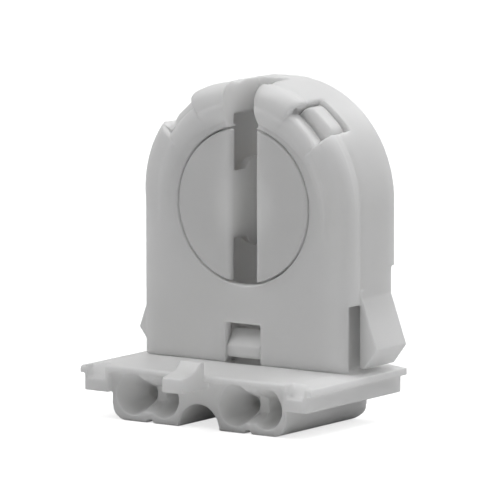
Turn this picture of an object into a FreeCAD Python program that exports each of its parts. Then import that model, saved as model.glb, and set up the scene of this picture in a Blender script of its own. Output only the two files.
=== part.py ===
import FreeCAD, Part
import math
import os
from types import SimpleNamespace

import Sketcher
from FreeCAD import Placement, Rotation, Vector

# Rotary lamp holder for a two-pin fluorescent tube, with push-in wire terminals.
# +Z is up, the tube stands in front on -Y, and X runs across.
# The origin is the middle of the holder's body on the seat, the top of the flange
# plate that bears on the sheet from below.

driving = {
    # The rotor
    "axis_height": 22.5,        # lamp axis above the seat
    "rotor_diameter": 22.0,
    "rotor_gap": 0.3,           # round the rotor's face
    "flange_rim": 1.4,          # flange outside the rotor's face
    "flange_thickness": 1.2,
    "end_play": 0.25,           # of the rotor, front to back
    "chamber_gap": 0.6,         # round the rotor's flange
    "pin_slot": 4.2,            # slot for the lamp's two pins
    "slot_floor": 1.0,          # hub's web behind that slot
    "slot_round": 0.85,
    "disc_wall": 1.1,           # rotor's face, hollow behind between hub and rim
    "rim_wall": 1.2,
    "rim_gap": 1.9,             # rim and flange cut back beside the slot
    "hub_diameter": 10.6,
    "hub_flare": 13.6,
    "hub_waist": 0.8,           # narrow part behind the flange
    "journal_diameter": 6.0,
    "journal_gap": 0.07,
    "boss_rise": 0.75,          # bearing boss in front of the back wall
    "bearing_boss": 11.6,
    "bearing_floor": 0.95,      # wall behind the journal
    # The arch-shaped cover
    "body_depth": 12.0,
    "arch_room": 1.7,           # from the guide ring to the side wall
    "side_wall": 1.6,
    "front_wall": 1.8,
    "front_round": 5.0,         # front edge of the arch and the sides
    "bead_land": 0.1,           # from the bore to the raised ring's section
    "bead_section": 2.7,        # radius of the ring's round section
    "bead_rise": 0.1,           # how far the crest stands proud beside the rotor
    "bead_tilt": 3.4,           # degrees, which lifts the ring above and sinks it below
    "guide_wall": 1.2,          # ring that guides the flange
    "guide_depth": 1.9,
    "entry_play": 0.3,          # arch's entry slot over the rotor's slot
    "slot_rib": 1.5,
    # Windows and snap parts
    "shoulder_angle": 42.0,     # degrees from the middle of the arch
    "shoulder_width": 6.1,      # of the window, along the arch
    "shoulder_lip": 0.8,        # in front of the window
    "shoulder_depth": 5.2,
    "shoulder_land": 0.05,      # window's floor over the guide ring
    "tab_gap": 0.9,             # above the tab, in its window
    "tab_side_gap": 0.25,
    "tab_drop": 0.9,            # outer face below the arch's surface
    "tab_round": 0.7,           # edges of its outer face
    "arm_play": 0.2,            # between the tab's arm and the cover
    "nose_window": 6.0,
    "nose_window_top": 5.7,
    "nose_top_gap": 0.9,
    "nose_bottom": 0.75,
    "nose_face": 1.65,          # height of the nose's tip
    "nose_round": 0.5,
    "nose_gap": 0.2,
    "nose_set_back": 0.2,       # of the nose's tip, behind the face
    "nose_relief": 1.2,         # hole in the plate under the nose
    "tongue_wall": 1.1,
    "tongue_neck": 0.45,        # cut from its front, under the nose
    "wing_slot_top": 9.4,
    "wing_root": 1.0,           # over the slot, where the wing leaves the side wall
    "wing_front": 3.6,          # from the body's front
    "wing_back": 0.8,           # from the body's back
    "wing_tip_height": 3.2,
    "wing_tip_reach": 2.6,      # past the side wall
    "wing_foot_height": 0.4,
    "wing_foot_reach": 0.5,
    "wing_wall": 0.4,           # part of the wing inside the side wall's face
    "back_strip_end": 14.1,     # lower end of the side walls' back strip
    # The flange plate
    "plate_rim": 1.5,           # outside the side walls
    "plate_front": 17.8,        # in front of the origin
    "plate_thickness": 1.5,
    "edge_round": 0.45,         # top of the plate's front edge
    "edge_height": 0.9,         # plate's front edge over the block's face
    "skirt_depth": 3.6,
    "skirt_wall": 1.3,
    "lip_width": 3.7,           # sloping rim at each side
    "lip_overhang": 0.75,
    "lip_thickness": 1.4,
    "lip_fall": 0.4,
    "lip_back": 0.4,
    "corner_notch_rim": 0.5,    # left outside the notch
    "corner_notch_width": 3.0,
    "corner_notch_depth": 1.9,
    "corner_notch_knee": 0.75,  # front-to-back place where its slope flattens
    "corner_notch_fall": 2.3,
    "corner_notch_ledge": 0.6,  # fall of the flatter part
    "fin_width": 3.5,
    "fin_length": 5.45,         # in front of the plate
    "fin_rise": 2.0,
    "fin_depth": 1.85,
    "fin_crest": 1.0,
    "fin_knee": 0.84,           # height where the ramp steepens
    "fin_ramp_round": 3.0,
    "fin_toe": 0.1,
    # The terminal block under the plate
    "block_inset": 2.65,        # behind the body's side walls
    "block_height": 7.55,
    "block_set_back": 1.0,      # behind the plate's front edge
    "block_step": 2.5,          # in front of the body's back
    "block_side_gap": 0.2,      # beside the block, up inside the plate
    "block_round": 2.3,
    "block_back_slope": 1.0,    # along its lower back edge
    "arch_radius": 3.45,        # passage between the two halves
    "passage_wall": 0.3,        # from the passage to the chambers
    "groove_radius": 0.55,      # between the lobes, underneath
    "groove_shift": 0.4,        # from a chamber's middle, towards the passage
    "funnel_shift": 0.2,        # from a cell's middle to its wire's axis
    "funnel_drop": 0.075,       # wire's axis below the block's middle
    "funnel_rim": 0.975,        # block left above and below a funnel
    "funnel_depth": 5.8,
    "wire_bore": 2.6,
    "block_floor": 1.05,        # under the chambers
    "chamber_side_wall": 1.05,
    "chamber_front_wall": 0.3,
    "chamber_back_wall": 0.8,
    "cell_rib": 1.0,
    # The base's upright back wall
    "back_wall": 2.0,
    "fit_gap": 0.15,            # between the two mouldings
    "inner_side_wall": 1.1,
    "inner_side_height": 9.2,
    # Contacts and clamp springs
    "strip_thickness": 0.35,
    "blade_side_gap": 0.975,    # to the flange in front and the hub's back
    "blade_gap": 0.35,          # to the hub's flare
    "blade_top": 6.6,           # above the lamp axis
    "blade_flare": 1.5,
    "riser_top": 8.0,
    "strip_bend": 0.9,
    "bus_rise": 1.2,            # underside of the bus over the wire's axis
    "bus_inner_gap": 0.6,       # from the chamber's inner side
    "spring_thickness": 0.3,
    "spring_room": 1.1,         # beside the spring, in its cell
    "spring_end_gap": 1.1,      # behind the spring
    "spring_bend": 0.5,
    "spring_rise": 1.25,
    "spring_set_back": 0.6,
}
past = 1.0                      # how far a cut runs past the surface that it opens
bite = 0.1                      # how far a pad reaches into what it grows from


class Size:
    # A number together with the sheet expression that it comes from.

    def __init__(self, number, text):
        self.number = number
        self.text = text

    def joined(self, sign, other, number):
        return Size(number, "(%s %s %s)" % (self.text, sign, sized(other).text))

    def __add__(self, other):
        return self.joined("+", other, self.number + sized(other).number)

    def __sub__(self, other):
        return self.joined("-", other, self.number - sized(other).number)

    def __mul__(self, other):
        return self.joined("*", other, self.number * sized(other).number)

    def __truediv__(self, other):
        return self.joined("/", other, self.number / sized(other).number)

    def __neg__(self):
        return Size(-self.number, "(0 - %s)" % self.text)

    def __radd__(self, other):
        return sized(other) + self

    def __rsub__(self, other):
        return sized(other) - self


def sized(amount):
    return amount if isinstance(amount, Size) else Size(float(amount), repr(float(amount)))


def sine(angle):
    return Size(math.sin(math.radians(angle.number)), "sin(%s)" % angle.text)


def cosine(angle):
    return Size(math.cos(math.radians(angle.number)), "cos(%s)" % angle.text)


doc = FreeCAD.newDocument("lamp_holder")
sheet = doc.addObject("Spreadsheet::Sheet", "sizes")
for row, (alias, amount) in enumerate(driving.items(), start=1):
    sheet.set("A%d" % row, alias)
    sheet.set("B%d" % row, str(amount))
    sheet.setAlias("B%d" % row, alias)
doc.recompute()
size = SimpleNamespace(**{alias: Size(amount, "sizes." + alias) for alias, amount in driving.items()})

# Places that several pieces share
front_face = -(size.body_depth / 2)
back_face = size.body_depth / 2
wall_back = front_face + size.front_wall
rotor_radius = size.rotor_diameter / 2
flange_radius = rotor_radius + size.flange_rim
chamber_radius = flange_radius + size.chamber_gap
guide_radius = chamber_radius + size.guide_wall
inner_half = guide_radius + size.arch_room
half_width = inner_half + size.side_wall
base_half = inner_half - size.fit_gap
bead_radius = rotor_radius + size.rotor_gap + size.bead_land + size.bead_section
flange_front = wall_back + size.end_play
flange_back = flange_front + size.flange_thickness
back_wall_front = back_face - size.back_wall
boss_front = back_wall_front - size.boss_rise
hub_back = boss_front - size.end_play
journal_end = back_face - size.bearing_floor - size.end_play
slot_end = hub_back - size.slot_floor
half_entry = (size.pin_slot + size.entry_play) / 2
tongue_front = wall_back + size.fit_gap
window_front = front_face + size.shoulder_lip
window_back = window_front + size.shoulder_depth
window_inner = guide_radius + size.shoulder_land
nose_top = size.nose_window_top - size.nose_top_gap
nose_tip = front_face + size.nose_set_back
wing_top = size.wing_slot_top + size.wing_root
plate_front = -size.plate_front
plate_half = half_width + size.plate_rim
lip_half = plate_half + size.lip_overhang
notch_outer = plate_half - size.corner_notch_rim
block_half = half_width - size.block_inset
block_front = plate_front + size.block_set_back
block_back = back_face - size.block_step
chamber_front = wall_back + size.chamber_front_wall
chamber_back = block_back - size.chamber_back_wall
chamber_inner = size.arch_radius + size.passage_wall
chamber_outer = block_half - size.chamber_side_wall
chamber_middle = (chamber_inner + chamber_outer) / 2
chamber_floor = size.block_floor - size.block_height
cell_width = (chamber_outer - chamber_inner - size.cell_rib) / 2
funnel_inner = chamber_inner + cell_width / 2 + size.funnel_shift
funnel_outer = chamber_outer - cell_width / 2 - size.funnel_shift
funnel_radius = size.block_height / 2 - size.funnel_rim
groove_middle = chamber_middle - size.groove_shift
wire_axis = -(size.block_height / 2 + size.funnel_drop)
bus_underside = wire_axis + size.bus_rise
blade_middle = (flange_back + hub_back) / 2
blade_width = hub_back - flange_back - size.blade_side_gap * 2
blade_touch = size.hub_flare / 2 + size.blade_gap


def new_body(name):
    body = doc.addObject("PartDesign::Body", name)
    body.Label = name
    return body


def origin_plane(body, role):
    return next(each for each in body.Origin.OriginFeatures if each.Role == role)


# What a pad needs to grow towards the axis's positive side, and how the plane's
# own offset runs: the front plane's normal looks towards -Y.
planes = {"XY_Plane": 1, "YZ_Plane": 1, "XZ_Plane": -1}


def seat_on_plane(body, feature, role, along, right=0.0, up=0.0, lean=None, axis=Vector(1, 0, 0)):
    # Attach to an origin plane, moved along its axis and within the plane, and
    # turned about an axis of that plane by the angle in lean.
    feature.AttachmentSupport = [(origin_plane(body, role), "")]
    feature.MapMode = "FlatFace"
    along, right, up = sized(along), sized(right), sized(up)
    if planes[role] < 0:
        along = -along
    turn = Rotation(axis, lean.number) if lean else Rotation()
    feature.AttachmentOffset = Placement(Vector(right.number, up.number, along.number), turn)
    feature.setExpression("AttachmentOffset.Base.x", right.text)
    feature.setExpression("AttachmentOffset.Base.y", up.text)
    feature.setExpression("AttachmentOffset.Base.z", along.text)
    if lean:
        feature.setExpression("AttachmentOffset.Rotation.Angle", lean.text)


class Drawing:
    # A sketch whose points are held from its origin by the sheet's sizes.

    def __init__(self, body, name, role, along=0.0):
        self.sketch = body.newObject("Sketcher::SketchObject", name)
        seat_on_plane(body, self.sketch, role, along)

    def hold(self, kind, place, amount):
        amount = sized(amount)
        index = self.sketch.addConstraint(Sketcher.Constraint(kind, *place, amount.number))
        self.sketch.setExpression("Constraints[%d]" % index, amount.text)

    def outline(self, *corners):
        points = [Vector(sized(right).number, sized(up).number, 0) for right, up in corners]
        count = len(points)
        first = self.sketch.GeometryCount
        for place, point in enumerate(points):
            self.sketch.addGeometry(Part.LineSegment(point, points[(place + 1) % count]), False)
        for place in range(count):
            line, following = first + place, first + (place + 1) % count
            self.sketch.addConstraint(Sketcher.Constraint("Coincident", line, 2, following, 1))
        for place, (right, up) in enumerate(corners):
            self.hold("DistanceX", (-1, 1, first + place, 1), right)
            self.hold("DistanceY", (-1, 1, first + place, 1), up)
        return self

    def box(self, left, low, right, high):
        return self.outline((left, low), (right, low), (right, high), (left, high))

    def circle(self, right, up, radius):
        right, up, radius = sized(right), sized(up), sized(radius)
        ring = Part.Circle(Vector(right.number, up.number, 0), Vector(0, 0, 1), radius.number)
        index = self.sketch.addGeometry(ring, False)
        self.hold("DistanceX", (-1, 1, index, 3), right)
        self.hold("DistanceY", (-1, 1, index, 3), up)
        self.hold("Radius", (index,), radius)
        return self


def across_shoulder(drawing, side, inner, outer, before, after):
    # A block across the arch at the shoulder: from one radius to another, and along
    # the arch from before to after the shoulder's middle, counted downwards.
    lean = size.shoulder_angle
    corners = []
    for radius, along in ((inner, before), (outer, before), (outer, after), (inner, after)):
        corners.append(((radius * sine(lean) + along * cosine(lean)) * side,
                        size.axis_height + radius * cosine(lean) - along * sine(lean)))
    drawing.outline(*corners)


def shoulder_reach(corner):
    # How far a corner stands from the lamp axis, towards the nearer shoulder.
    lean = math.radians(size.shoulder_angle.number)
    return abs(corner.X) * math.sin(lean) + (corner.Z - size.axis_height.number) * math.cos(lean)


def volume(body):
    doc.recompute()
    return body.Shape.Volume


def extruded(body, kind, name, role, start, end, draw):
    # Pad or Pocket between two places along the plane's axis.
    before = volume(body) if kind == "Pocket" else 0.0
    drawing = Drawing(body, name + "_sketch", role, start)
    draw(drawing)
    feature = body.newObject("PartDesign::" + kind, name)
    feature.Profile = drawing.sketch
    feature.Length = (end - start).number
    feature.setExpression("Length", (end - start).text)
    feature.Reversed = (planes[role] < 0) == (kind == "Pad")
    if kind == "Pocket" and not volume(body) < before - 1e-6:
        raise RuntimeError("%s cuts nothing" % name)
    return feature


def pad(body, name, role, start, end, draw):
    return extruded(body, "Pad", name, role, sized(start), sized(end), draw)


def pocket(body, name, role, start, end, draw):
    return extruded(body, "Pocket", name, role, sized(start), sized(end), draw)


def dressed(body, kind, name, radius, chosen):
    # Fillet or Chamfer on the edges that the test picks.
    doc.recompute()
    base = body.Tip
    names = ["Edge%d" % (place + 1) for place, edge in enumerate(base.Shape.Edges) if chosen(edge)]
    if not names:
        raise RuntimeError("%s finds no edge" % name)
    feature = body.newObject("PartDesign::" + kind, name)
    feature.Base = (base, names)
    cell = "Radius" if kind == "Fillet" else "Size"
    setattr(feature, cell, radius.number)
    feature.setExpression(cell, radius.text)
    doc.recompute()
    return feature


def lies(edge, axis, place):
    # Whether a whole edge lies at one place along X, Y or Z.
    box = edge.BoundBox
    low = getattr(box, axis + "Min")
    high = getattr(box, axis + "Max")
    return abs(low - place.number) < 1e-3 and abs(high - place.number) < 1e-3


def sides(draw):
    # The same outline on the left and on the right.
    def both(drawing):
        for side in (-1, 1):
            draw(drawing, side)
    return both


def primitive(body, kind, name, role, along, right, up, lean=None, axis=Vector(1, 0, 0), **amounts):
    # A PartDesign primitive on an origin plane, its amounts bound to the sheet.
    feature = body.newObject("PartDesign::" + kind, name)
    seat_on_plane(body, feature, role, along, right, up, lean, axis)
    for cell, amount in amounts.items():
        amount = sized(amount)
        setattr(feature, cell, amount.number)
        feature.setExpression(cell, amount.text)
    doc.recompute()
    return feature


def make_cover():
    # The arch-shaped front moulding: face, arch, side walls and snap wings.
    body = new_body("arch_cover")
    axis = size.axis_height
    pad(body, "block", "XZ_Plane", front_face, back_face,
        lambda d: d.box(-half_width, 0, half_width, axis))
    pad(body, "arch", "XZ_Plane", front_face, back_face, lambda d: d.circle(0, axis, half_width))
    dressed(body, "Fillet", "front_rounding", size.front_round,
            lambda edge: lies(edge, "Y", front_face) and edge.BoundBox.ZMax > 1)

    # The raised ring: a round section turned about an axis that leans back, so that
    # the ring stands proud over the rotor and sinks into the face below it.
    primitive(body, "AdditiveTorus", "bead", "XZ_Plane", front_face + size.bead_section - size.bead_rise,
              0, axis, size.bead_tilt, Radius1=bead_radius, Radius2=size.bead_section)

    # Hollow from the back, with the corner inside the front rounding kept full
    pocket(body, "cavity", "XZ_Plane", wall_back, back_face + past,
           lambda d: d.box(-inner_half, -past, inner_half, axis))
    pocket(body, "arch_cavity", "XZ_Plane", wall_back, back_face + past,
           lambda d: d.circle(0, axis, inner_half))
    dressed(body, "Fillet", "inner_rounding", size.front_round - size.side_wall,
            lambda edge: lies(edge, "Y", wall_back) and edge.BoundBox.ZMax > 1)

    # The ring that guides the rotor's flange, and ribs beside the entry slot
    pad(body, "guide", "XZ_Plane", wall_back - bite, wall_back + size.guide_depth,
        lambda d: d.circle(0, axis, guide_radius))
    rib = half_entry + size.slot_rib
    pad(body, "slot_ribs", "XZ_Plane", wall_back - bite, slot_end + size.slot_rib,
        lambda d: d.box(-rib, axis + rotor_radius, rib, axis + base_half))
    pocket(body, "chamber", "XZ_Plane", wall_back, back_face + past,
           lambda d: d.circle(0, axis, chamber_radius))
    pocket(body, "bore", "XZ_Plane", front_face - past, back_face,
           lambda d: d.circle(0, axis, rotor_radius + size.rotor_gap))
    pocket(body, "entry", "XZ_Plane", front_face - past, slot_end,
           lambda d: d.box(-half_entry, axis, half_entry, axis + half_width + past))

    # Windows for the snap tabs on the shoulders and for the nose below the rotor
    pocket(body, "shoulder_windows", "XZ_Plane", window_front, window_back,
           sides(lambda d, side: across_shoulder(d, side, window_inner, half_width + past,
                                                 -size.shoulder_width / 2, size.shoulder_width / 2)))
    pocket(body, "nose_opening", "XZ_Plane", front_face - past, wall_back + bite,
           lambda d: d.box(-size.nose_window / 2, -past, size.nose_window / 2, size.nose_window_top))

    # Each snap wing hangs from the side wall, free in front, behind and below
    wing_start, wing_end = front_face + size.wing_front, back_face - size.wing_back
    wing_room = inner_half - size.front_round + size.side_wall
    pocket(body, "wing_cuts", "XZ_Plane", wall_back, wing_end,
           sides(lambda d, side: d.box(wing_room * side, -past, (half_width + past) * side,
                                       size.wing_slot_top)))
    pocket(body, "back_cuts", "XZ_Plane", wing_end, back_face + past,
           sides(lambda d, side: d.box((inner_half - past) * side, -past, (half_width + past) * side,
                                       size.back_strip_end)))
    tip = half_width + size.wing_tip_reach

    def wing(drawing, side):
        drawing.outline((inner_half * side, wing_top + past), (half_width * side, wing_top + past),
                        (half_width * side, wing_top), (tip * side, size.wing_tip_height),
                        ((half_width + size.wing_foot_reach) * side, size.wing_foot_height),
                        ((half_width - size.wing_wall) * side, size.wing_foot_height),
                        ((half_width - size.wing_wall) * side, size.wing_slot_top),
                        (inner_half * side, size.wing_slot_top))

    pad(body, "wings", "XZ_Plane", wing_start, wing_end, sides(wing))
    return body


def make_rotor():
    # The turning disc with its slot, turned in one with its flange, hub and journal.
    # It is drawn about its own axis and placed at the lamp axis.
    body = new_body("rotor")
    face, disc_back = front_face, front_face + size.disc_wall
    rim_inner = rotor_radius - size.rim_wall
    flare_start = flange_back + size.hub_waist
    flare_end = flare_start + (size.hub_flare - size.hub_diameter) / 2
    drawing = Drawing(body, "profile", "YZ_Plane")
    drawing.outline((face, 0), (face, rotor_radius), (flange_front, rotor_radius),
                    (flange_front, flange_radius), (flange_back, flange_radius),
                    (flange_back, rim_inner), (disc_back, rim_inner),
                    (disc_back, size.hub_diameter / 2), (flare_start, size.hub_diameter / 2),
                    (flare_end, size.hub_flare / 2), (hub_back, size.hub_flare / 2),
                    (hub_back, size.journal_diameter / 2), (journal_end, size.journal_diameter / 2),
                    (journal_end, 0))
    turned = body.newObject("PartDesign::Revolution", "turned")
    turned.Profile = drawing.sketch
    turned.ReferenceAxis = (drawing.sketch, ["H_Axis"])
    turned.Angle = 360
    doc.recompute()
    half = size.pin_slot / 2
    pocket(body, "slot", "XZ_Plane", front_face - past, slot_end,
           lambda d: d.box(-half, -flange_radius - past, half, flange_radius + past))
    dressed(body, "Fillet", "slot_rounding", size.slot_round,
            lambda edge: lies(edge, "Y", front_face) and edge.Curve.TypeId == "Part::GeomLine")
    rim_half = half + size.rim_gap
    pocket(body, "rim_gaps", "XZ_Plane", disc_back, flange_back + bite,
           sides(lambda d, side: d.box(-rim_half, size.hub_diameter / 2 * side, rim_half,
                                       (flange_radius + past) * side)))
    body.Placement.Base.z = size.axis_height.number
    body.setExpression("Placement.Base.z", size.axis_height.text)
    return body


def make_base():
    # The lower moulding: flange plate, terminal block, back wall and snap tabs.
    body = new_body("terminal_base")
    skirt_bottom = -size.skirt_depth
    pad(body, "plate", "XY_Plane", skirt_bottom, 0,
        lambda d: d.box(-plate_half, plate_front, plate_half, back_face))

    # The sloping lip on each side, drawn on the front plane
    lip_inner = lip_half - size.lip_width
    lip_end = back_face + size.lip_back

    def lip(drawing, side):
        drawing.outline((lip_inner * side, -size.lip_thickness), (lip_half * side, -size.lip_thickness),
                        (lip_half * side, -size.lip_fall), (lip_inner * side, 0))

    pad(body, "lips", "XZ_Plane", plate_front, lip_end, sides(lip))
    pocket(body, "lip_slope", "XZ_Plane", plate_front - past, lip_end + past,
           sides(lambda d, side: d.outline((lip_inner * side, 0), ((lip_half + past) * side, 0),
                                           ((lip_half + past) * side, -size.lip_fall),
                                           (lip_half * side, -size.lip_fall))))
    dressed(body, "Fillet", "edge_rounding", size.edge_round,
            lambda edge: lies(edge, "Y", plate_front) and edge.BoundBox.XLength > edge.BoundBox.ZLength
            and edge.BoundBox.ZMin > -size.lip_fall.number - 1e-3)

    # Open underneath between the skirt and the block
    pocket(body, "underside", "XY_Plane", skirt_bottom - past, -size.plate_thickness - size.lip_fall,
           sides(lambda d, side: d.box((block_half + size.block_side_gap) * side,
                                       plate_front + size.skirt_wall,
                                       (plate_half - size.skirt_wall) * side,
                                       back_face - size.skirt_wall)))
    pad(body, "terminal_block", "XY_Plane", -size.block_height, -size.plate_thickness,
        lambda d: d.box(-block_half, block_front, block_half, block_back))
    # The block's face stands back under the plate's front edge
    pocket(body, "set_back", "XY_Plane", skirt_bottom - past, -size.edge_height,
           lambda d: d.box(-block_half, plate_front - past, block_half, block_front))

    # The two front corners have a notch that slopes down to a small ledge
    def corner_notch(drawing):
        ledge = -size.corner_notch_fall
        drawing.outline((plate_front + size.corner_notch_depth, 0),
                        (plate_front + size.corner_notch_knee, ledge + size.corner_notch_ledge),
                        (plate_front - past, ledge), (plate_front - past, past),
                        (plate_front + size.corner_notch_depth, past))

    notch_inner = notch_outer - size.corner_notch_width
    pocket(body, "notch_right", "YZ_Plane", notch_inner, notch_outer, corner_notch)
    pocket(body, "notch_left", "YZ_Plane", -notch_outer, -notch_inner, corner_notch)

    # The fin in front of the plate, with a curved ramp up to its crest
    fin_front = plate_front - size.fin_length
    crest = plate_front - size.fin_crest
    knee = crest - size.fin_crest
    pad(body, "fin", "YZ_Plane", -size.fin_width / 2, size.fin_width / 2,
        lambda d: d.outline((fin_front, -size.fin_depth), (plate_front + past, -size.fin_depth),
                            (plate_front + past, -size.edge_round), (plate_front, -size.edge_round),
                            (plate_front, size.fin_rise), (crest, size.fin_rise),
                            (knee, size.fin_knee), (fin_front, size.fin_toe)))
    dressed(body, "Fillet", "fin_ramp", size.fin_ramp_round,
            lambda edge: lies(edge, "Y", knee) and lies(edge, "Z", size.fin_knee))

    # Rounded edges of the terminal block, the passage between its halves and the
    # small grooves between its lobes
    block_bottom = -size.block_height
    dressed(body, "Fillet", "block_rounding", size.block_round,
            lambda edge: (lies(edge, "X", block_half) or lies(edge, "X", -block_half))
            and lies(edge, "Z", block_bottom))
    slope = size.block_back_slope
    pocket(body, "block_back_slope", "YZ_Plane", -block_half - past, block_half + past,
           lambda d: d.outline((block_back - slope, block_bottom), (block_back - slope, block_bottom - past),
                               (block_back + past, block_bottom - past),
                               (block_back + past, block_bottom + slope), (block_back, block_bottom + slope)))
    pocket(body, "passage", "XZ_Plane", block_front - past, block_back + past,
           lambda d: d.circle(0, block_bottom, size.arch_radius))
    pocket(body, "lobe_grooves", "XZ_Plane", block_front - past, block_back + past,
           sides(lambda d, side: d.circle(groove_middle * side, block_bottom, size.groove_radius)))

    # Wire funnels and bores, each in line with its spring
    bore_end = block_front + size.funnel_depth
    for name, across in (("outer_left", -funnel_outer), ("inner_left", -funnel_inner),
                         ("inner_right", funnel_inner), ("outer_right", funnel_outer)):
        primitive(body, "SubtractiveCone", "funnel_" + name, "XZ_Plane", bore_end, across, wire_axis,
                  Radius1=size.wire_bore / 2, Radius2=funnel_radius, Height=size.funnel_depth)
        primitive(body, "SubtractiveCylinder", "bore_" + name, "XZ_Plane", chamber_front + bite, across,
                  wire_axis, Radius=size.wire_bore / 2, Height=chamber_front + bite * 2 - bore_end)

    # Terminal chambers, open above into the body, with a rib between the wires
    pocket(body, "chambers", "XY_Plane", bus_underside, past,
           sides(lambda d, side: d.box(chamber_inner * side, chamber_front,
                                       chamber_outer * side, chamber_back)))
    pocket(body, "cells_inner", "XY_Plane", chamber_floor, 0,
           sides(lambda d, side: d.box(chamber_inner * side, chamber_front,
                                       (chamber_inner + cell_width) * side, chamber_back)))
    pocket(body, "cells_outer", "XY_Plane", chamber_floor, 0,
           sides(lambda d, side: d.box((chamber_outer - cell_width) * side, chamber_front,
                                       chamber_outer * side, chamber_back)))

    # The upright back wall closes the arch and carries the rotor's journal
    axis = size.axis_height
    pad(body, "back_wall_lower", "XZ_Plane", back_wall_front, back_face,
        lambda d: d.box(-base_half, -past, base_half, axis))
    pad(body, "back_wall_upper", "XZ_Plane", back_wall_front, back_face,
        lambda d: d.circle(0, axis, base_half))
    pad(body, "bearing_boss", "XZ_Plane", boss_front, back_face,
        lambda d: d.circle(0, axis, size.bearing_boss / 2))
    pocket(body, "bearing", "XZ_Plane", boss_front - bite, journal_end + size.end_play,
           lambda d: d.circle(0, axis, size.journal_diameter / 2 + size.journal_gap))
    pad(body, "side_screens", "XY_Plane", -past, size.inner_side_height,
        sides(lambda d, side: d.box((base_half - size.inner_side_wall) * side, chamber_front,
                                    base_half * side, back_face)))

    # Snap arms that reach forward from the back wall to the shoulder windows
    tab_start = size.tab_gap - size.shoulder_width / 2
    tab_end = size.shoulder_width / 2 - size.fit_gap
    tab_inner = window_inner + size.fit_gap
    pad(body, "shoulder_arms", "XZ_Plane", window_back - past, back_face,
        sides(lambda d, side: across_shoulder(d, side, tab_inner, base_half - size.arm_play,
                                              tab_start, tab_end)))
    tab_front, tab_back = window_front + size.tab_side_gap, window_back - size.tab_side_gap
    tab_outer = half_width - size.tab_drop
    pad(body, "shoulder_tabs", "XZ_Plane", tab_front, tab_back,
        sides(lambda d, side: across_shoulder(d, side, tab_inner, tab_outer, tab_start, tab_end)))
    dressed(body, "Fillet", "tab_rounding", size.tab_round,
            lambda edge: all(abs(shoulder_reach(end) - tab_outer.number) < 1e-3 for end in edge.Vertexes)
            and edge.BoundBox.ZMin > axis.number)

    # The tongue behind the front wall, with the nose that snaps into the lower window
    nose_half = size.nose_window / 2 - size.nose_gap
    pad(body, "tongue", "XY_Plane", -past, nose_top,
        lambda d: d.box(-nose_half, tongue_front, nose_half, tongue_front + size.tongue_wall))
    pocket(body, "nose_relief", "XY_Plane", -size.nose_relief, size.nose_bottom,
           lambda d: d.box(-size.nose_window / 2, front_face, size.nose_window / 2,
                           tongue_front + size.tongue_neck))
    pad(body, "nose", "YZ_Plane", -nose_half, nose_half,
        lambda d: d.outline((tongue_front + bite, size.nose_bottom), (nose_tip, size.nose_bottom),
                            (nose_tip, size.nose_bottom + size.nose_face),
                            (tongue_front, nose_top), (tongue_front + bite, nose_top)))
    dressed(body, "Fillet", "nose_rounding", size.nose_round,
            lambda edge: lies(edge, "Y", nose_tip) and edge.BoundBox.XLength > edge.BoundBox.ZLength)
    return body


def bent_strip(route, bend, thickness):
    # The flat outline of a strip of metal along a route of points, on the plane
    # Y = 0, with every corner turned at the bend's radius on the strip's middle.
    edges = []
    start = route[0]
    for before, corner, after in zip(route, route[1:], route[2:]):
        arriving = (corner - before).normalize()
        leaving = (after - corner).normalize()
        turn = arriving.getAngle(leaving)
        reach = bend * math.tan(turn / 2)
        first, last = corner - arriving * reach, corner + leaving * reach
        inward = (leaving - arriving).normalize()
        middle = corner + inward * (bend / math.cos(turn / 2) - bend)
        edges += [Part.LineSegment(start, first).toShape(), Part.Arc(first, middle, last).toShape()]
        start = last
    edges.append(Part.LineSegment(start, route[-1]).toShape())
    middle_line = Part.Wire(edges)
    half = thickness / 2
    return middle_line.makeOffset2D(half, 2, False, True), middle_line.makeOffset2D(-half, 2, False, True)


def strip_solid(route, bend, thickness, direction):
    one, other = bent_strip(route, bend, thickness)
    ends = []
    for place in (0, -1):
        ends.append(Part.LineSegment(one.OrderedVertexes[place].Point,
                                     other.OrderedVertexes[place].Point).toShape())
    outline = Part.Wire(Part.__sortEdges__(one.Edges + other.Edges + ends))
    return Part.Face(outline).extrude(direction)


def new_piece(name, shape, place):
    # A stamped piece that is set from Part's own functions, then put in its place.
    piece = doc.addObject("Part::Feature", name)
    piece.Label = name
    piece.Shape = shape
    piece.Placement.Base = place
    return piece


def make_contact(name, side):
    # A bronze strip: the bus over the two wires, the riser, and the blade that the
    # lamp's pin rests on, bowed in towards the rotor's hub.
    half = size.strip_thickness / 2
    bus = (bus_underside + half).number
    riser = (chamber_outer - size.fit_gap / 2 - half).number
    touch = (blade_touch + half).number
    axis = size.axis_height.number
    top = size.blade_top.number
    route = [Vector((chamber_inner + size.bus_inner_gap).number, 0, bus), Vector(riser, 0, bus),
             Vector(riser, 0, size.riser_top.number), Vector(touch, 0, axis),
             Vector(touch + size.blade_flare.number, 0, axis + top)]
    route = [Vector(side * point.x, 0, point.z) for point in route]
    width = blade_width.number
    shape = strip_solid(route, size.strip_bend.number, size.strip_thickness.number, Vector(0, width, 0))
    return new_piece(name, shape, Vector(0, blade_middle.number - width / 2, 0))


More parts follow.
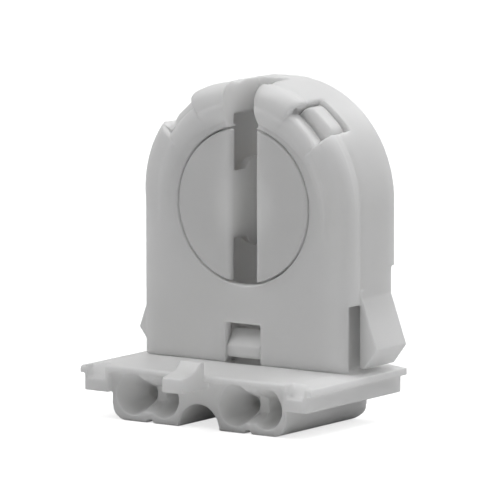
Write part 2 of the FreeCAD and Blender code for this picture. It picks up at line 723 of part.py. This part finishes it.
def make_spring(name, across):
    # A leaf of spring steel: its foot lies on the chamber's floor, and its free end
    # slopes up and back, so that it holds the wire against the bus.
    half = size.spring_thickness / 2
    foot = (chamber_floor + half + size.fit_gap / 3).number
    front = (chamber_front + half + size.fit_gap).number
    back = (chamber_back - size.spring_end_gap).number
    rise = size.spring_rise.number
    width = (cell_width - size.spring_room).number
    route = [Vector(back, foot, 0), Vector(front, foot, 0), Vector(front, foot + rise, 0),
             Vector(back - size.spring_set_back.number,
                    (bus_underside - size.fit_gap * 2 - half).number, 0)]
    shape = strip_solid(route, size.spring_bend.number, size.spring_thickness.number,
                        Vector(0, 0, width))
    piece = new_piece(name, shape, Vector(across.number - width / 2, 0, 0))
    piece.Placement.Rotation = Rotation(Vector(0, 1, 0), Vector(0, 0, 1), Vector(1, 0, 0), "XYZ")
    return piece


pieces = [make_cover(), make_rotor(), make_base(),
          make_contact("contact_left", -1), make_contact("contact_right", 1)]
for spring, across in (("clamp_spring_outer_left", -funnel_outer), ("clamp_spring_inner_left", -funnel_inner),
                       ("clamp_spring_inner_right", funnel_inner),
                       ("clamp_spring_outer_right", funnel_outer)):
    pieces.append(make_spring(spring, across))
doc.recompute()
for each in doc.Objects:
    if "Invalid" in each.State or "Error" in each.State:
        raise RuntimeError("%s did not compute" % each.Label)
os.makedirs("parts", exist_ok=True)
for piece in pieces:
    shape = piece.Shape
    if shape.isNull() or not shape.isValid():
        raise RuntimeError("%s has no valid shape" % piece.Label)
    shape.exportStep("parts/%s.step" % piece.Label)
    box = shape.optimalBoundingBox(False)
    print("%-16s %8.1f mm3  X %.2f..%.2f  Y %.2f..%.2f  Z %.2f..%.2f  solids %d" % (
        piece.Label, shape.Volume, box.XMin, box.XMax, box.YMin, box.YMax, box.ZMin, box.ZMax,
        len(shape.Solids)))
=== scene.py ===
import math

import bmesh
import bpy
from mathutils import Matrix, Vector


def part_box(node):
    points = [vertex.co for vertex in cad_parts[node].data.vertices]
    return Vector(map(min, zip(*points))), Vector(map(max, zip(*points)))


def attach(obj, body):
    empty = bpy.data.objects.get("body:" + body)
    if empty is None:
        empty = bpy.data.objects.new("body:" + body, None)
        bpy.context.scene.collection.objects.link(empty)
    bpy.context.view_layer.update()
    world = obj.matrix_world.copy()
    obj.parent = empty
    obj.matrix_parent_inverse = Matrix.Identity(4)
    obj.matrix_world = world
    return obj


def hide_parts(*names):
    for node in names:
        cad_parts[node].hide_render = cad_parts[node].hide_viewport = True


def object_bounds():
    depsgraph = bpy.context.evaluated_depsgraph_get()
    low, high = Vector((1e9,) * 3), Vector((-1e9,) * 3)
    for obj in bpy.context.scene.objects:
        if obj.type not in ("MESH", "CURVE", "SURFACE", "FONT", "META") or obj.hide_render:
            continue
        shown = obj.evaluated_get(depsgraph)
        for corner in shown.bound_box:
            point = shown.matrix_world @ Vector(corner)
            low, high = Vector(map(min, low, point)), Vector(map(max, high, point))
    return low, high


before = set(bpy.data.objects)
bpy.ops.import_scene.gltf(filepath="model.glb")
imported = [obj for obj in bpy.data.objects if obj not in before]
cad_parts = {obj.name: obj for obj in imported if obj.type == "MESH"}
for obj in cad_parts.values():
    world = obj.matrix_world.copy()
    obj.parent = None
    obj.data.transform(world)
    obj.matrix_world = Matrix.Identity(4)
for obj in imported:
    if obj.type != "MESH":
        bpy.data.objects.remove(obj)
cadBox = [list(corner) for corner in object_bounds()]
mm = 0.001

# Lamp holder in white moulded plastic. +Z is up, the tube stands in front on -Y.
# Places and sizes below are in mm where nothing else is said, colours are linear.
rotorLow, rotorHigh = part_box("rotor")
axisHeight = round((rotorLow[2] + rotorHigh[2]) / 2 / mm, 3)    # of the rotor and the arch around it
faceFront = round(rotorLow[1] / mm, 3)
baseDrop = 0.28                 # how far the base, and the floor with it, lies below the solids
print("stage: frame loaded")


# The photograph's camera, by the pixel of the rotor's face
shot = {
    "azimuth": 34.6,            # degrees round to the holder's right
    "elevation": 7.97,
    "distance": 1.0,            # metres
    "pixelsPerMm": 7.099,       # at the rotor's face
    "rotorPixel": (242.3, 206.0),
    "imageSide": 500,
    "sensor": 36.0,
    "clip": (0.01, 20.0),       # metres
}


def makeCamera():
    turn, tilt = math.radians(shot["azimuth"]), math.radians(shot["elevation"])
    right = Vector((math.cos(turn), math.sin(turn), 0))
    level = Vector((math.sin(turn), -math.cos(turn), 0))
    back = level * math.cos(tilt) + Vector((0, 0, math.sin(tilt)))
    up = back.cross(right)
    middle = shot["imageSide"] / 2
    across = (middle - shot["rotorPixel"][0]) / shot["pixelsPerMm"]
    above = (shot["rotorPixel"][1] - middle) / shot["pixelsPerMm"]
    target = (Vector((0, faceFront, axisHeight)) + right * across + up * above) * mm
    data = bpy.data.cameras.new("photoCamera")
    data.sensor_width = shot["sensor"]
    data.lens = shot["sensor"] * shot["pixelsPerMm"] * shot["distance"] / mm / shot["imageSide"]
    data.clip_start, data.clip_end = shot["clip"]
    camera = bpy.data.objects.new("photoCamera", data)
    bpy.context.scene.collection.objects.link(camera)
    camera.location = target + back * shot["distance"]
    camera.rotation_mode = "QUATERNION"
    camera.rotation_quaternion = Matrix((right, up, back)).transposed().to_quaternion()
    bpy.context.scene.camera = camera


makeCamera()
print("stage: camera")


# White floor and world, and five softboxes
room = {
    "floorSize": 6.0,           # metres
    "floorColour": (0.80, 0.80, 0.80),
    "floorGlow": 0.70,          # for the camera alone, so that the floor shows white
    "worldColour": (0.98, 0.98, 1.0),
    "worldStrength": 0.04,
    "lampSize": 0.70,           # metres
}
lamps = {                       # place from the holder's middle in metres, and watts
    "keySoftbox": ((0.36, -0.22, 0.90), 1.55),
    "leftSoftbox": ((-0.45, -0.25, 0.80), 3.4),
    "backSoftbox": ((0.25, 0.55, 0.80), 5.0),
    "rightSoftbox": ((0.80, -0.15, 0.55), 0.28),
    "frontFill": ((0.56, -0.80, 0.22), 0.3),
}


def makeFloorPaint():
    # Matte grey that takes the shadow, with a glow that only the camera sees
    paint = bpy.data.materials.new("floorPaint")
    paint.use_nodes = True
    nodes, links = paint.node_tree.nodes, paint.node_tree.links
    nodes.clear()
    out = nodes.new("ShaderNodeOutputMaterial")
    matte = nodes.new("ShaderNodeBsdfDiffuse")
    matte.inputs["Color"].default_value = (*room["floorColour"], 1)
    glow = nodes.new("ShaderNodeEmission")
    path = nodes.new("ShaderNodeLightPath")
    strength = nodes.new("ShaderNodeMath")
    strength.operation = "MULTIPLY"
    strength.inputs[1].default_value = room["floorGlow"]
    both = nodes.new("ShaderNodeAddShader")
    links.new(path.outputs["Is Camera Ray"], strength.inputs[0])
    links.new(strength.outputs[0], glow.inputs["Strength"])
    links.new(matte.outputs[0], both.inputs[0])
    links.new(glow.outputs[0], both.inputs[1])
    links.new(both.outputs[0], out.inputs["Surface"])
    return paint


def makeFloor():
    bottom = cadBox[0][2] - baseDrop * mm
    half = room["floorSize"] / 2
    corners = [(x, y, bottom) for x, y in ((-half, -half), (half, -half), (half, half), (-half, half))]
    mesh = bpy.data.meshes.new("floor")
    mesh.from_pydata(corners, [], [(0, 1, 2, 3)])
    mesh.materials.append(makeFloorPaint())
    floor = bpy.data.objects.new("floor", mesh)
    bpy.context.scene.collection.objects.link(floor)


def makeWorld():
    # A dim light on the object, and plain white to the camera and in reflections
    world = bpy.data.worlds.new("studio")
    bpy.context.scene.world = world
    world.use_nodes = True
    nodes, links = world.node_tree.nodes, world.node_tree.links
    nodes.clear()
    out = nodes.new("ShaderNodeOutputWorld")
    lit = nodes.new("ShaderNodeBackground")
    lit.inputs["Color"].default_value = (*room["worldColour"], 1)
    lit.inputs["Strength"].default_value = room["worldStrength"]
    white = nodes.new("ShaderNodeBackground")
    white.inputs["Color"].default_value = (1, 1, 1, 1)
    path = nodes.new("ShaderNodeLightPath")
    mirrored = nodes.new("ShaderNodeMath")
    mirrored.operation = "MAXIMUM"
    seen = nodes.new("ShaderNodeMath")
    seen.operation = "MAXIMUM"
    mix = nodes.new("ShaderNodeMixShader")
    links.new(path.outputs["Is Glossy Ray"], mirrored.inputs[0])
    links.new(path.outputs["Is Transmission Ray"], mirrored.inputs[1])
    links.new(path.outputs["Is Camera Ray"], seen.inputs[0])
    links.new(mirrored.outputs[0], seen.inputs[1])
    links.new(seen.outputs[0], mix.inputs["Fac"])
    links.new(lit.outputs[0], mix.inputs[1])
    links.new(white.outputs[0], mix.inputs[2])
    links.new(mix.outputs[0], out.inputs["Surface"])


def makeLamps():
    middle = (Vector(cadBox[0]) + Vector(cadBox[1])) / 2
    for name, (place, watts) in lamps.items():
        data = bpy.data.lights.new(name, "AREA")
        data.shape = "SQUARE"
        data.size = room["lampSize"]
        data.energy = watts
        lamp = bpy.data.objects.new(name, data)
        bpy.context.scene.collection.objects.link(lamp)
        lamp.location = middle + Vector(place)
        lamp.rotation_mode = "QUATERNION"
        lamp.rotation_quaternion = Vector(place).to_track_quat("Z", "Y")


makeFloor()
makeWorld()
makeLamps()
bpy.context.scene.view_settings.view_transform = "Standard"
print("stage: room")


# Materials, with their patterns by Object coordinates in metres
noiseSpread = (0.3, 0.7)        # where most values of a noise lie
plasticLook = {                 # satin white moulding
    "light": (0.945, 0.945, 0.940),
    "dull": (0.905, 0.905, 0.895),
    "cloudScale": 70.0,         # slow clouds in the white
    "cloudDetail": 3.0,
    "sheenScale": 420.0,        # patches of smoother and rougher skin
    "roughness": (0.36, 0.50),
    "grainScale": 5200.0,       # fine sparked skin of the mould
    "grainRoughness": 0.6,
    "grainHeight": 0.000006,
    "flowScale": 160.0,         # faint sink and flow waves on the large faces
    "flowDetail": 1.0,
    "flowHeight": 0.000030,
    "scatter": 0.0030,
}
stripLook = {                   # what both strip metals share
    "lineScale": 4.0,           # rolling lines along the strip
    "lineDetail": 3.0,
    "lineHeight": 0.000004,
    "tarnishScale": 350.0,
    "tarnishDetail": 3.0,
}
bronzeLook = {
    "name": "contactBronze",
    "bright": (0.78, 0.58, 0.34),
    "dull": (0.60, 0.43, 0.24),
    "roughness": (0.24, 0.46),
    "rolled": (1500.0, 60.0, 60.0),
}
steelLook = {
    "name": "springSteel",
    "bright": (0.68, 0.68, 0.69),
    "dull": (0.52, 0.52, 0.54),
    "roughness": (0.20, 0.40),
    "rolled": (60.0, 1800.0, 60.0),
}


def startMaterial(name):
    material = bpy.data.materials.new(name)
    material.use_nodes = True
    nodes, links = material.node_tree.nodes, material.node_tree.links
    place = nodes.new("ShaderNodeTexCoord")
    return material, nodes, links, place.outputs["Object"], nodes["Principled BSDF"]


def addNoise(nodes, links, place, scale, detail=2.0, roughness=0.5):
    noise = nodes.new("ShaderNodeTexNoise")
    noise.inputs["Scale"].default_value = scale
    noise.inputs["Detail"].default_value = detail
    noise.inputs["Roughness"].default_value = roughness
    links.new(place, noise.inputs["Vector"])
    return noise.outputs["Fac"]


def spreadOut(nodes, links, value, low, high):
    spread = nodes.new("ShaderNodeMapRange")
    spread.inputs["From Min"].default_value = noiseSpread[0]
    spread.inputs["From Max"].default_value = noiseSpread[1]
    spread.inputs["To Min"].default_value = low
    spread.inputs["To Max"].default_value = high
    links.new(value, spread.inputs["Value"])
    return spread.outputs["Result"]


def mixColours(nodes, links, share, one, other):
    mix = nodes.new("ShaderNodeMix")
    mix.data_type = "RGBA"
    mix.inputs["A"].default_value = (*one, 1)
    mix.inputs["B"].default_value = (*other, 1)
    links.new(share, mix.inputs["Factor"])
    return mix.outputs["Result"]


def addBump(nodes, links, height, distance, before=None):
    bump = nodes.new("ShaderNodeBump")
    bump.inputs["Strength"].default_value = 1.0
    bump.inputs["Distance"].default_value = distance
    links.new(height, bump.inputs["Height"])
    if before:
        links.new(before, bump.inputs["Normal"])
    return bump.outputs["Normal"]


def makePlastic(look):
    material, nodes, links, place, shader = startMaterial("whitePlastic")
    clouds = addNoise(nodes, links, place, look["cloudScale"], look["cloudDetail"])
    clouds = spreadOut(nodes, links, clouds, 0.0, 1.0)
    links.new(mixColours(nodes, links, clouds, look["dull"], look["light"]), shader.inputs["Base Color"])
    patches = addNoise(nodes, links, place, look["sheenScale"])
    links.new(spreadOut(nodes, links, patches, *look["roughness"]), shader.inputs["Roughness"])
    flow = addNoise(nodes, links, place, look["flowScale"], look["flowDetail"])
    flow = addBump(nodes, links, flow, look["flowHeight"])
    grain = addNoise(nodes, links, place, look["grainScale"], roughness=look["grainRoughness"])
    links.new(addBump(nodes, links, grain, look["grainHeight"], flow), shader.inputs["Normal"])
    shader.inputs["Subsurface Weight"].default_value = 1.0
    shader.inputs["Subsurface Radius"].default_value = (1.0, 1.0, 1.0)
    shader.inputs["Subsurface Scale"].default_value = look["scatter"]
    return material


def makeRolledMetal(look):
    material, nodes, links, place, shader = startMaterial(look["name"])
    rolled = nodes.new("ShaderNodeMapping")
    rolled.inputs["Scale"].default_value = look["rolled"]
    links.new(place, rolled.inputs["Vector"])
    lines = addNoise(nodes, links, rolled.outputs["Vector"], stripLook["lineScale"], stripLook["lineDetail"])
    tarnish = addNoise(nodes, links, place, stripLook["tarnishScale"], stripLook["tarnishDetail"])
    tarnish = spreadOut(nodes, links, tarnish, 0.0, 1.0)
    links.new(mixColours(nodes, links, tarnish, look["dull"], look["bright"]), shader.inputs["Base Color"])
    links.new(spreadOut(nodes, links, lines, *look["roughness"]), shader.inputs["Roughness"])
    links.new(addBump(nodes, links, lines, stripLook["lineHeight"]), shader.inputs["Normal"])
    shader.inputs["Metallic"].default_value = 1.0
    return material


whitePlastic = makePlastic(plasticLook)
contactBronze = makeRolledMetal(bronzeLook)
springSteel = makeRolledMetal(steelLook)
print("stage: materials")


# Mouldings: the solids' shapes with soft edges, reshaped in a few places by moving vertices
def eased(value, low, high):
    part = min(max((value - low) / (high - low), 0.0), 1.0)
    return part * part * (3 - 2 * part)


# Snap windows in the arch's shoulders, with a thin lip in front and a tab behind
shoulder = {
    "angle": 42.0,              # degrees from the top of the arch
    "window": 3.05,             # half of its width
    "lip": 1.4,                 # depth of the lip, from the face
    "lipFade": 0.3,
    "lipInner": 12.0,           # from the axis: no lip further in
    "lipSides": (-0.2, 0.1),    # from the window's side, where the lip ends
    "lipWider": 1.15,           # how much further back it reaches
    "lipBend": (-0.5, 0.75),    # depth over which that grows
    "lipDrop": 0.7,             # of its back edge
    "lipReach": (13.4, 14.6),   # from the axis, where both start
    "rim": 1.0,                 # rounding above the window
    "rimDrop": 0.3,
    "rimSkin": (15.5, 16.8),    # from the axis: still below, moved above
    "rimBack": (5.9, 6.6),      # depth where the rounding ends
    "rimUnder": 0.2,            # of the window's side, moved with its rim
    "tabLow": -2.85,            # its ends along the arch, from the window's middle
    "tabHigh": 2.15,
    "tabTaller": 0.6,
    "tabFront": 1.05,           # depth
    "tabBack": 5.95,
    "tabShorter": 1.15,         # behind the wider lip
    "tabRaise": 0.85,           # of its back half, level with the arch
    "tabSlope": (1.8, 3.0),     # depth over which it rises
    "tabFoot": (14.0, 14.3),    # from the axis, where it starts
    "tabSkin": (14.6, 15.8),
    "tabCrown": 0.25,           # share of the rise that its ends lack
    "tabCrownWidth": 1.3,
}


def onShoulder(vertex):
    # Outward and upward axes of the window on the vertex's side, its place on both, and its depth
    turn = math.radians(shoulder["angle"])
    side = math.copysign(1.0, vertex.co.x)
    out = Vector((math.sin(turn) * side, 0, math.cos(turn)))
    up = Vector((-math.cos(turn) * side, 0, math.sin(turn)))
    place = vertex.co / mm - Vector((0, 0, axisHeight))
    return out, up, place.dot(out), place.dot(up), place.y - faceFront


def inLip(vertex):
    # 1 in the lip in front of a window, 0 away from it
    _, _, reach, along, depth = onShoulder(vertex)
    if reach < shoulder["lipInner"]:
        return 0.0
    low, high = shoulder["lipSides"]
    beside = eased(abs(along), shoulder["window"] + low, shoulder["window"] + high)
    return (1 - beside) * (1 - eased(depth, shoulder["lip"], shoulder["lip"] + shoulder["lipFade"]))


def widenLips(mesh):
    for vertex in mesh.vertices:
        share = inLip(vertex)
        if share > 0:
            out, _, reach, _, depth = onShoulder(vertex)
            share *= eased(depth, *shoulder["lipBend"]) * eased(reach, *shoulder["lipReach"])
            vertex.co += (Vector((0, shoulder["lipWider"], 0)) - out * shoulder["lipDrop"]) * share * mm


def roundWindowRims(mesh):
    for vertex in mesh.vertices:
        out, _, reach, along, depth = onShoulder(vertex)
        above = along - shoulder["window"]
        if above < -shoulder["rimUnder"] or above > shoulder["rim"]:
            continue
        fall = (1 - max(above, 0.0) / shoulder["rim"]) ** 2 * eased(reach, *shoulder["rimSkin"])
        fall *= 1 - eased(depth, *shoulder["rimBack"])
        vertex.co -= out * fall * shoulder["rimDrop"] * mm


def plumpTabs(mesh):
    # The tabs fill their windows, level with the arch behind and rounded off in front.
    low, high = shoulder["tabLow"], shoulder["tabHigh"]
    front, back = shoulder["tabFront"], shoulder["tabBack"]
    stretch = shoulder["tabTaller"] / (high - low)
    for vertex in mesh.vertices:
        out, up, reach, along, depth = onShoulder(vertex)
        if vertex.co.z / mm < axisHeight or depth > back or reach < shoulder["tabFoot"][0]:
            continue
        ahead = (back - depth) / (back - front)
        backward = shoulder["tabShorter"] * ahead * eased(reach, *shoulder["tabFoot"])
        atEnds = 1 - eased(min(along - low, high - along), 0.0, shoulder["tabCrownWidth"])
        rise = shoulder["tabRaise"] * eased(depth + backward, *shoulder["tabSlope"])
        rise *= 1 - shoulder["tabCrown"] * atEnds
        skin = eased(reach, *shoulder["tabSkin"])
        vertex.co += (out * rise + up * (along - low) * stretch) * skin * mm
        vertex.co.y += backward * mm


# Front edge of the arch cover: the moulding's rounding is tighter than the solid's
frontEdge = {
    "half": 17.5,               # of the arch's width
    "pastSide": 0.05,           # vertices further out belong to the snap wings
    "solidRound": 5.0,
    "round": 2.5,
    "skin": (3.4, 4.6),         # from the rounding's centre: still below, moved above
    "wingAngle": (15.0, 24.0),  # degrees from the side, where the snap wings start
    "beadAngle": (66.0, 76.0),  # and where the raised ring keeps its own form
    "beadRise": 0.1,            # the ring stands proud, and leans forward above
    "beadLean": 0.0594,
}


def fromMiddle(vertex):
    # Outward direction and distance from the arch's axis, or from its middle plane below that
    outward = Vector((vertex.co.x / mm, 0, max(vertex.co.z / mm - axisHeight, 0.0)))
    reach = outward.length
    outward.normalize()
    return outward, reach


def tightenedReach(along, across):
    # How far the tighter rounding reaches in a direction from the wide rounding's centre
    full, tight = frontEdge["solidRound"], frontEdge["round"]
    inner = full - tight
    if across / along * full < inner:
        return full / along
    if along / across * full < inner:
        return full / across
    both = inner * (along + across)
    return both + math.sqrt(both * both - 2 * inner * inner + tight * tight)


def tightenFrontEdge(mesh):
    full = frontEdge["solidRound"]
    for vertex in mesh.vertices:
        outward, reach = fromMiddle(vertex)
        above = vertex.co.z / mm - axisHeight
        offLip = 1 - inLip(vertex)
        lift = max(0.0, frontEdge["beadRise"] + frontEdge["beadLean"] * above) * offLip
        squash = full / (full + lift)
        side = full - (frontEdge["half"] - reach)
        front = (full - (vertex.co.y / mm - faceFront)) * squash
        if side <= 0 or front <= 0 or reach > frontEdge["half"] + frontEdge["pastSide"]:
            continue
        far = math.hypot(side, front)
        angle = math.degrees(math.atan2(front, side))
        along, across = side / far, front / far
        edge = tightenedReach(along, across)
        scaled = far * edge / full
        bead = eased(angle, *frontEdge["beadAngle"])
        wanted = scaled * bead + min(scaled, edge) * (1 - bead)
        share = eased(far, *frontEdge["skin"]) * eased(angle, *frontEdge["wingAngle"]) * offLip
        move = (wanted - far) * share
        vertex.co += (outward * along * move - Vector((0, 1, 0)) * across * move / squash) * mm


# The arch is a little fuller than a half circle.
archSwell = {
    "side": 0.35,               # beside the rotor
    "shoulder": 0.4,
    "skin": (2.6, 1.4),         # depth under the surface: still at the first, moved at the second
}


def swellArch(mesh):
    deep, thin = archSwell["skin"]
    for vertex in mesh.vertices:
        outward, reach = fromMiddle(vertex)
        share = (1 - eased(frontEdge["half"] - reach, thin, deep)) * (1 - inLip(vertex))
        across, up = abs(outward.x), outward.z
        swell = archSwell["side"] * across * across + archSwell["shoulder"] * 2 * across * up
        vertex.co += outward * swell * share * mm


# Entry slot, where the lamp's pins come in
entrySlot = {
    "half": 2.3,                # of its width in the solid
    "wider": 0.35,              # on each side
    "fade": 1.6,
    "inside": 0.4,              # within the slot, what still counts as its wall
    "bottom": 33.8,
}


def widenEntrySlot(mesh):
    for vertex in mesh.vertices:
        off = abs(vertex.co.x) / mm - entrySlot["half"]
        if vertex.co.z / mm < entrySlot["bottom"] or off < -entrySlot["inside"]:
            continue
        move = entrySlot["wider"] * (1 - eased(off, 0.0, entrySlot["fade"]))
        vertex.co.x += math.copysign(move * mm, vertex.co.x)


# Ridge between the two funnels of a pair
mouthRidge = {
    "middle": 8.775,
    "height": -3.85,
    "front": -16.80,            # the block's face
    "setBack": 3.6,             # behind it
    "halfWidth": (0.70, 0.95),
    "halfHeight": (1.0, 2.3),
}


def setRidgesBack(mesh):
    for vertex in mesh.vertices:
        beside = abs(abs(vertex.co.x) / mm - mouthRidge["middle"])
        above = abs(vertex.co.z / mm - mouthRidge["height"])
        depth = vertex.co.y / mm - mouthRidge["front"]
        share = 1 - eased(beside, *mouthRidge["halfWidth"])
        share *= 1 - eased(above, *mouthRidge["halfHeight"])
        if depth < mouthRidge["setBack"]:
            vertex.co.y += (mouthRidge["setBack"] - depth) * share * mm


dropBelow = (1.5, 2.4)          # under the plate's top, where the base gets deeper


def deepenBase(mesh):
    for vertex in mesh.vertices:
        vertex.co.z -= baseDrop * eased(-vertex.co.z / mm, *dropBelow) * mm


moulding = {
    "weld": 1e-7,               # metres
    "voxel": 0.14,
    "smoothing": 6,
    "smoothFactor": 0.5,
    "triangles": 180000,
}
reshaping = {
    "arch_cover": (tightenFrontEdge, swellArch, widenLips, roundWindowRims, widenEntrySlot),
    "terminal_base": (plumpTabs, setRidgesBack, deepenBase),
    "rotor": (),
}


def weld(mesh, distance):
    form = bmesh.new()
    form.from_mesh(mesh)
    bmesh.ops.remove_doubles(form, verts=form.verts, dist=distance)
    bmesh.ops.recalc_face_normals(form, faces=form.faces)
    form.to_mesh(mesh)
    form.free()


def bakeModifiers(piece):
    graph = bpy.context.evaluated_depsgraph_get()
    graph.update()
    made = bpy.data.meshes.new_from_object(piece.evaluated_get(graph))
    piece.modifiers.clear()
    piece.data = made


def softenEdges(piece):
    remesh = piece.modifiers.new("remesh", "REMESH")
    remesh.mode = "VOXEL"
    remesh.voxel_size = moulding["voxel"] * mm
    remesh.use_smooth_shade = True
    smooth = piece.modifiers.new("smooth", "SMOOTH")
    smooth.factor = moulding["smoothFactor"]
    smooth.iterations = moulding["smoothing"]
    thin = piece.modifiers.new("thin", "DECIMATE")
    bpy.context.view_layer.update()
    squares = len(piece.evaluated_get(bpy.context.evaluated_depsgraph_get()).data.polygons)
    thin.ratio = min(1.0, moulding["triangles"] / (2 * squares))
    bakeModifiers(piece)


def makeMoulding(node):
    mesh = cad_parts[node].data.copy()
    mesh.name = node + "Soft"
    mesh.materials.clear()
    mesh.materials.append(whitePlastic)
    weld(mesh, moulding["weld"])
    piece = bpy.data.objects.new(node + "Soft", mesh)
    bpy.context.scene.collection.objects.link(piece)
    softenEdges(piece)
    for reshape in reshaping[node]:
        reshape(piece.data)
    print("piece:", node, len(piece.data.polygons))
    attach(piece, "rotor" if node == "rotor" else "holder")
    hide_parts(node)


for node in reshaping:
    makeMoulding(node)
print("stage: mouldings")


# Stamped strips: the leaf springs that clamp the wires, and the lamp contacts
stampedStrip = {
    "edgeRound": 0.07,
    "edgePoints": 3,
    "bendPoints": 7,
    "weld": 1e-8,               # metres
}
stripInputs = {
    "Route": "Geometry",
    "Width": "Float",
    "Thickness": "Float",
    "Edge Round": "Float",
    "Bend Radius": "Float",
    "Flat Side": "Vector",
    "Row Count": "Int",
    "Row Step": "Vector",
    "Pair Step": "Vector",
    "Material": "Material",
}


def makeStripTree():
    # A route bent at its corners and swept with a flat section, then set out in two rows.
    tree = bpy.data.node_groups.new("stampedStrip", "GeometryNodeTree")
    tree.is_modifier = True
    for name, kind in stripInputs.items():
        tree.interface.new_socket(name, in_out="INPUT", socket_type="NodeSocket" + kind)
    tree.interface.new_socket("Strips", in_out="OUTPUT", socket_type="NodeSocketGeometry")
    nodes, links = tree.nodes, tree.links
    given = nodes.new("NodeGroupInput").outputs

    def add(kind, settings=None, **feeds):
        node = nodes.new("GeometryNode" + kind)
        for name, value in (settings or {}).items():
            setattr(node, name, value)
        for name, feed in feeds.items():
            socket = node.inputs[name.replace("_", " ")]
            if isinstance(feed, bpy.types.NodeSocket):
                links.new(feed, socket)
            else:
                socket.default_value = feed
        return node

    def rounded(curve, radius, points):
        return add("FilletCurve", {"mode": "POLY"}, Curve=curve, Radius=radius, Count=points,
                   Limit_Radius=True).outputs["Curve"]

    def repeated(geometry, count, step):
        places = add("MeshLine", {"mode": "OFFSET"}, Count=count, Offset=step).outputs["Mesh"]
        return add("InstanceOnPoints", Points=places, Instance=geometry).outputs["Instances"]

    route = add("MeshToCurve", Mesh=given["Route"]).outputs["Curve"]
    route = rounded(route, given["Bend Radius"], stampedStrip["bendPoints"])
    route = add("SetCurveNormal", {"mode": "FREE"}, Curve=route, Normal=given["Flat Side"]).outputs["Curve"]
    section = add("CurvePrimitiveQuadrilateral", {"mode": "RECTANGLE"}, Width=given["Width"],
                  Height=given["Thickness"]).outputs["Curve"]
    section = rounded(section, given["Edge Round"], stampedStrip["edgePoints"])
    strip = add("CurveToMesh", Curve=route, Profile_Curve=section, Fill_Caps=True).outputs["Mesh"]
    pair = repeated(strip, given["Row Count"], given["Row Step"])
    pairs = repeated(pair, given["Row Count"], given["Pair Step"])
    real = add("RealizeInstances", Geometry=pairs).outputs["Geometry"]
    done = add("SetMaterial", Geometry=real, Material=given["Material"]).outputs["Geometry"]
    links.new(done, nodes.new("NodeGroupOutput").inputs["Strips"])
    return tree


def makeStrips(name, route, values, replaced):
    mesh = bpy.data.meshes.new(name)
    points = [Vector(point) * mm for point in route]
    mesh.from_pydata(points, [(n, n + 1) for n in range(len(points) - 1)], [])
    piece = bpy.data.objects.new(name, mesh)
    bpy.context.scene.collection.objects.link(piece)
    strip = piece.modifiers.new("strip", "NODES")
    strip.node_group = stripTree
    for socket in stripTree.interface.items_tree:
        if socket.name in values:
            strip[socket.identifier] = values[socket.name]
    bpy.context.view_layer.update()
    bakeModifiers(piece)
    weld(piece.data, stampedStrip["weld"])
    print("piece:", name, len(piece.data.polygons))
    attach(piece, "holder")
    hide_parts(*replaced)


def boxOf(node):
    low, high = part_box(node)
    return [value / mm for value in low], [value / mm for value in high]


# The four leaf springs stand alike, so one spring is set out in two pairs.
springStrip = {
    "nodes": ["clamp_spring_" + place for place in ("outer_left", "inner_left", "inner_right", "outer_right")],
    "thickness": 0.3,
    "rise": 1.25,
    "setBack": 0.6,
    "bend": 0.5,
}


def makeSprings():
    boxes = [boxOf(node) for node in springStrip["nodes"]]
    middles = [(low[0] + high[0]) / 2 for low, high in boxes]
    low, high = boxes[0]
    half = springStrip["thickness"] / 2
    foot, front, back = low[2] + half, low[1] + half, high[1]
    profile = [(back, foot), (front, foot), (front, foot + springStrip["rise"]),
               (back - springStrip["setBack"], high[2] - half)]
    values = {
        "Width": (high[0] - low[0]) * mm,
        "Thickness": springStrip["thickness"] * mm,
        "Edge Round": stampedStrip["edgeRound"] * mm,
        "Bend Radius": springStrip["bend"] * mm,
        "Flat Side": (1.0, 0.0, 0.0),
        "Row Count": 2,
        "Row Step": ((middles[1] - middles[0]) * mm, 0.0, 0.0),
        "Pair Step": ((middles[2] - middles[0]) * mm, 0.0, 0.0),
        "Material": springSteel,
    }
    route = [(middles[0], y, z) for y, z in profile]
    makeStrips("clampSprings", route, values, springStrip["nodes"])


# A contact lies flat over its wires, rises beside the rotor and leans in to the lamp's pin.
contactStrip = {
    "thickness": 0.35,
    "bend": 0.9,
    "riserTop": 8.0,
    "touch": 7.325,             # where the blade rests, from the middle
    "flare": 1.5,
    "tipShare": 0.25,           # of half the thickness, which the slanted end takes in height
}


def makeContact(node, side):
    low, high = boxOf(node)
    half = contactStrip["thickness"] / 2
    inner, outer = sorted((abs(low[0]), abs(high[0])))
    riser, foot, depth = outer - half, low[2] + half, (low[1] + high[1]) / 2
    touch, tip = contactStrip["touch"], high[2] - half * contactStrip["tipShare"]
    profile = [(inner, foot), (riser, foot), (riser, contactStrip["riserTop"]), (touch, axisHeight),
               (touch + contactStrip["flare"], tip)]
    values = {
        "Width": (high[1] - low[1]) * mm,
        "Thickness": contactStrip["thickness"] * mm,
        "Edge Round": stampedStrip["edgeRound"] * mm,
        "Bend Radius": contactStrip["bend"] * mm,
        "Flat Side": (0.0, 1.0, 0.0),
        "Row Count": 1,
        "Row Step": (0.0, 0.0, 0.0),
        "Pair Step": (0.0, 0.0, 0.0),
        "Material": contactBronze,
    }
    route = [(side * x, depth, z) for x, z in profile]
    makeStrips(node.replace("contact_", "contactStrip_"), route, values, [node])


stripTree = makeStripTree()
makeSprings()
makeContact("contact_left", -1)
makeContact("contact_right", 1)
print("stage: pieces")
